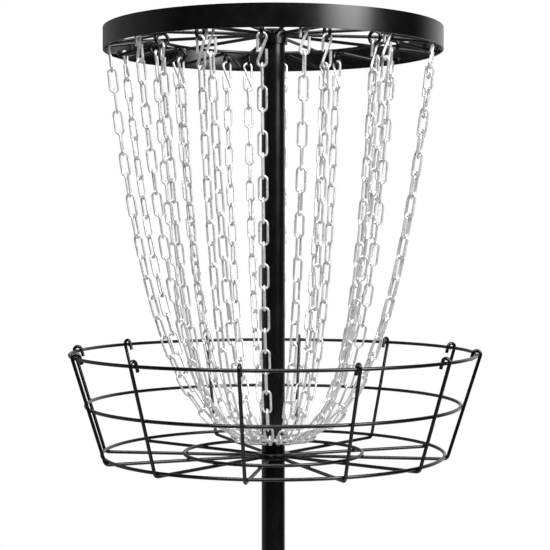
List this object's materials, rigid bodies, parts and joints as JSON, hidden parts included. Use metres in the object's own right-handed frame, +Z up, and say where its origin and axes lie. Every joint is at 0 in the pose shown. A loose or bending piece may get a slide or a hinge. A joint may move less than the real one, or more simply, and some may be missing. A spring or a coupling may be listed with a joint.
{
  "type": "disc golf basket",
  "caption": "Free-standing disc golf target: a wire basket and a banded top of wire spokes on a pole, with rings of chains that hang in a bowl shape to a ring around the pole.",
  "frame": {"origin": "on the pole's axis at the floor, under the rubber feet", "axes": "+Z up the pole, -Y the front as in the picture, +X to its right"},
  "size_m": [0.6678, 0.6678, 1.3455],
  "materials": {
    "black_paint": "semi-gloss powder coat",
    "zinc": "bright zinc plating",
    "rubber": "matt",
    "cap_plastic": "matt"
  },
  "bodies": {
    "frame": {"base_ring": "black_paint", "base_spokes": "black_paint", "base_socket": "black_paint", "base_feet": "rubber", "lower_pole": "black_paint", "pole_sleeve": "black_paint", "upper_pole": "black_paint", "pole_cap": "cap_plastic", "basket_hub": "black_paint", "basket_floor_spokes": "black_paint", "basket_uprights": "black_paint", "basket_floor_ring": "black_paint", "basket_bottom_ring": "black_paint", "basket_middle_ring": "black_paint", "basket_rim_ring": "black_paint", "top_hub": "black_paint", "top_spokes": "black_paint", "top_band": "black_paint", "hanger_ring": "black_paint", "hanger_eyes": "black_paint", "outer_hangers": "black_paint", "hanger_braces": "black_paint", "chain_end_links": "zinc"},
    "chain_ring": {"chain_ring": "zinc"},
    "outer_chain_01": {"outer_chain_01": "zinc"},
    "outer_chain_02": {"outer_chain_02": "zinc"},
    "outer_chain_03": {"outer_chain_03": "zinc"},
    "outer_chain_04": {"outer_chain_04": "zinc"},
    "outer_chain_05": {"outer_chain_05": "zinc"},
    "outer_chain_06": {"outer_chain_06": "zinc"},
    "outer_chain_07": {"outer_chain_07": "zinc"},
    "outer_chain_08": {"outer_chain_08": "zinc"},
    "outer_chain_09": {"outer_chain_09": "zinc"},
    "outer_chain_10": {"outer_chain_10": "zinc"},
    "outer_chain_11": {"outer_chain_11": "zinc"},
    "outer_chain_12": {"outer_chain_12": "zinc"},
    "inner_chain_01": {"inner_chain_01": "zinc"},
    "inner_chain_02": {"inner_chain_02": "zinc"},
    "inner_chain_03": {"inner_chain_03": "zinc"},
    "inner_chain_04": {"inner_chain_04": "zinc"},
    "inner_chain_05": {"inner_chain_05": "zinc"},
    "inner_chain_06": {"inner_chain_06": "zinc"},
    "inner_chain_07": {"inner_chain_07": "zinc"},
    "inner_chain_08": {"inner_chain_08": "zinc"},
    "inner_chain_09": {"inner_chain_09": "zinc"},
    "inner_chain_10": {"inner_chain_10": "zinc"},
    "inner_chain_11": {"inner_chain_11": "zinc"},
    "inner_chain_12": {"inner_chain_12": "zinc"}
  },
  "joints": [
    {"name": "chain_ring_turn", "type": "hinge", "parent": "frame", "child": "chain_ring", "pos_m": [0, 0, 0.6815], "axis": [0, 0, 1], "continuous": true},
    {"name": "outer_chain_01_swing", "type": "hinge", "parent": "frame", "child": "outer_chain_01", "pos_m": [0.04619, -0.26196, 1.317], "axis": [0.0467, -0.2646, 0.9632], "range_deg": [-15, 15]},
    {"name": "outer_chain_02_swing", "type": "hinge", "parent": "frame", "child": "outer_chain_02", "pos_m": [0.17098, -0.20377, 1.317], "axis": [0.1727, -0.2059, 0.9632], "range_deg": [-15, 15]},
    {"name": "outer_chain_03_swing", "type": "hinge", "parent": "frame", "child": "outer_chain_03", "pos_m": [0.24996, -0.09098, 1.317], "axis": [0.2525, -0.0919, 0.9632], "range_deg": [-15, 15]},
    {"name": "outer_chain_04_swing", "type": "hinge", "parent": "frame", "child": "outer_chain_04", "pos_m": [0.26196, 0.04619, 1.317], "axis": [0.2646, 0.0467, 0.9632], "range_deg": [-15, 15]},
    {"name": "outer_chain_05_swing", "type": "hinge", "parent": "frame", "child": "outer_chain_05", "pos_m": [0.20377, 0.17098, 1.317], "axis": [0.2059, 0.1727, 0.9632], "range_deg": [-15, 15]},
    {"name": "outer_chain_06_swing", "type": "hinge", "parent": "frame", "child": "outer_chain_06", "pos_m": [0.09098, 0.24996, 1.317], "axis": [0.0919, 0.2525, 0.9632], "range_deg": [-15, 15]},
    {"name": "outer_chain_07_swing", "type": "hinge", "parent": "frame", "child": "outer_chain_07", "pos_m": [-0.04619, 0.26196, 1.317], "axis": [-0.0467, 0.2646, 0.9632], "range_deg": [-15, 15]},
    {"name": "outer_chain_08_swing", "type": "hinge", "parent": "frame", "child": "outer_chain_08", "pos_m": [-0.17098, 0.20377, 1.317], "axis": [-0.1727, 0.2059, 0.9632], "range_deg": [-15, 15]},
    {"name": "outer_chain_09_swing", "type": "hinge", "parent": "frame", "child": "outer_chain_09", "pos_m": [-0.24996, 0.09098, 1.317], "axis": [-0.2525, 0.0919, 0.9632], "range_deg": [-15, 15]},
    {"name": "outer_chain_10_swing", "type": "hinge", "parent": "frame", "child": "outer_chain_10", "pos_m": [-0.26196, -0.04619, 1.317], "axis": [-0.2646, -0.0467, 0.9632], "range_deg": [-15, 15]},
    {"name": "outer_chain_11_swing", "type": "hinge", "parent": "frame", "child": "outer_chain_11", "pos_m": [-0.20377, -0.17098, 1.317], "axis": [-0.2059, -0.1727, 0.9632], "range_deg": [-15, 15]},
    {"name": "outer_chain_12_swing", "type": "hinge", "parent": "frame", "child": "outer_chain_12", "pos_m": [-0.09098, -0.24996, 1.317], "axis": [-0.0919, -0.2525, 0.9632], "range_deg": [-15, 15]},
    {"name": "inner_chain_01_swing", "type": "hinge", "parent": "frame", "child": "inner_chain_01", "pos_m": [-0.01673, -0.19127, 1.30795], "axis": [-0.0144, -0.1651, 0.9862], "range_deg": [-15, 15]},
    {"name": "inner_chain_02_swing", "type": "hinge", "parent": "frame", "child": "inner_chain_02", "pos_m": [0.08114, -0.17401, 1.30795], "axis": [0.07, -0.1502, 0.9862], "range_deg": [-15, 15]},
    {"name": "inner_chain_03_swing", "type": "hinge", "parent": "frame", "child": "inner_chain_03", "pos_m": [0.15728, -0.11013, 1.30795], "axis": [0.1357, -0.095, 0.9862], "range_deg": [-15, 15]},
    {"name": "inner_chain_04_swing", "type": "hinge", "parent": "frame", "child": "inner_chain_04", "pos_m": [0.19127, -0.01673, 1.30795], "axis": [0.1651, -0.0144, 0.9862], "range_deg": [-15, 15]},
    {"name": "inner_chain_05_swing", "type": "hinge", "parent": "frame", "child": "inner_chain_05", "pos_m": [0.17401, 0.08114, 1.30795], "axis": [0.1502, 0.07, 0.9862], "range_deg": [-15, 15]},
    {"name": "inner_chain_06_swing", "type": "hinge", "parent": "frame", "child": "inner_chain_06", "pos_m": [0.11013, 0.15728, 1.30795], "axis": [0.095, 0.1357, 0.9862], "range_deg": [-15, 15]},
    {"name": "inner_chain_07_swing", "type": "hinge", "parent": "frame", "child": "inner_chain_07", "pos_m": [0.01673, 0.19127, 1.30795], "axis": [0.0144, 0.1651, 0.9862], "range_deg": [-15, 15]},
    {"name": "inner_chain_08_swing", "type": "hinge", "parent": "frame", "child": "inner_chain_08", "pos_m": [-0.08114, 0.17401, 1.30795], "axis": [-0.07, 0.1502, 0.9862], "range_deg": [-15, 15]},
    {"name": "inner_chain_09_swing", "type": "hinge", "parent": "frame", "child": "inner_chain_09", "pos_m": [-0.15728, 0.11013, 1.30795], "axis": [-0.1357, 0.095, 0.9862], "range_deg": [-15, 15]},
    {"name": "inner_chain_10_swing", "type": "hinge", "parent": "frame", "child": "inner_chain_10", "pos_m": [-0.19127, 0.01673, 1.30795], "axis": [-0.1651, 0.0144, 0.9862], "range_deg": [-15, 15]},
    {"name": "inner_chain_11_swing", "type": "hinge", "parent": "frame", "child": "inner_chain_11", "pos_m": [-0.17401, -0.08114, 1.30795], "axis": [-0.1502, -0.07, 0.9862], "range_deg": [-15, 15]},
    {"name": "inner_chain_12_swing", "type": "hinge", "parent": "frame", "child": "inner_chain_12", "pos_m": [-0.11013, -0.15728, 1.30795], "axis": [-0.095, -0.1357, 0.9862], "range_deg": [-15, 15]}
  ]
}
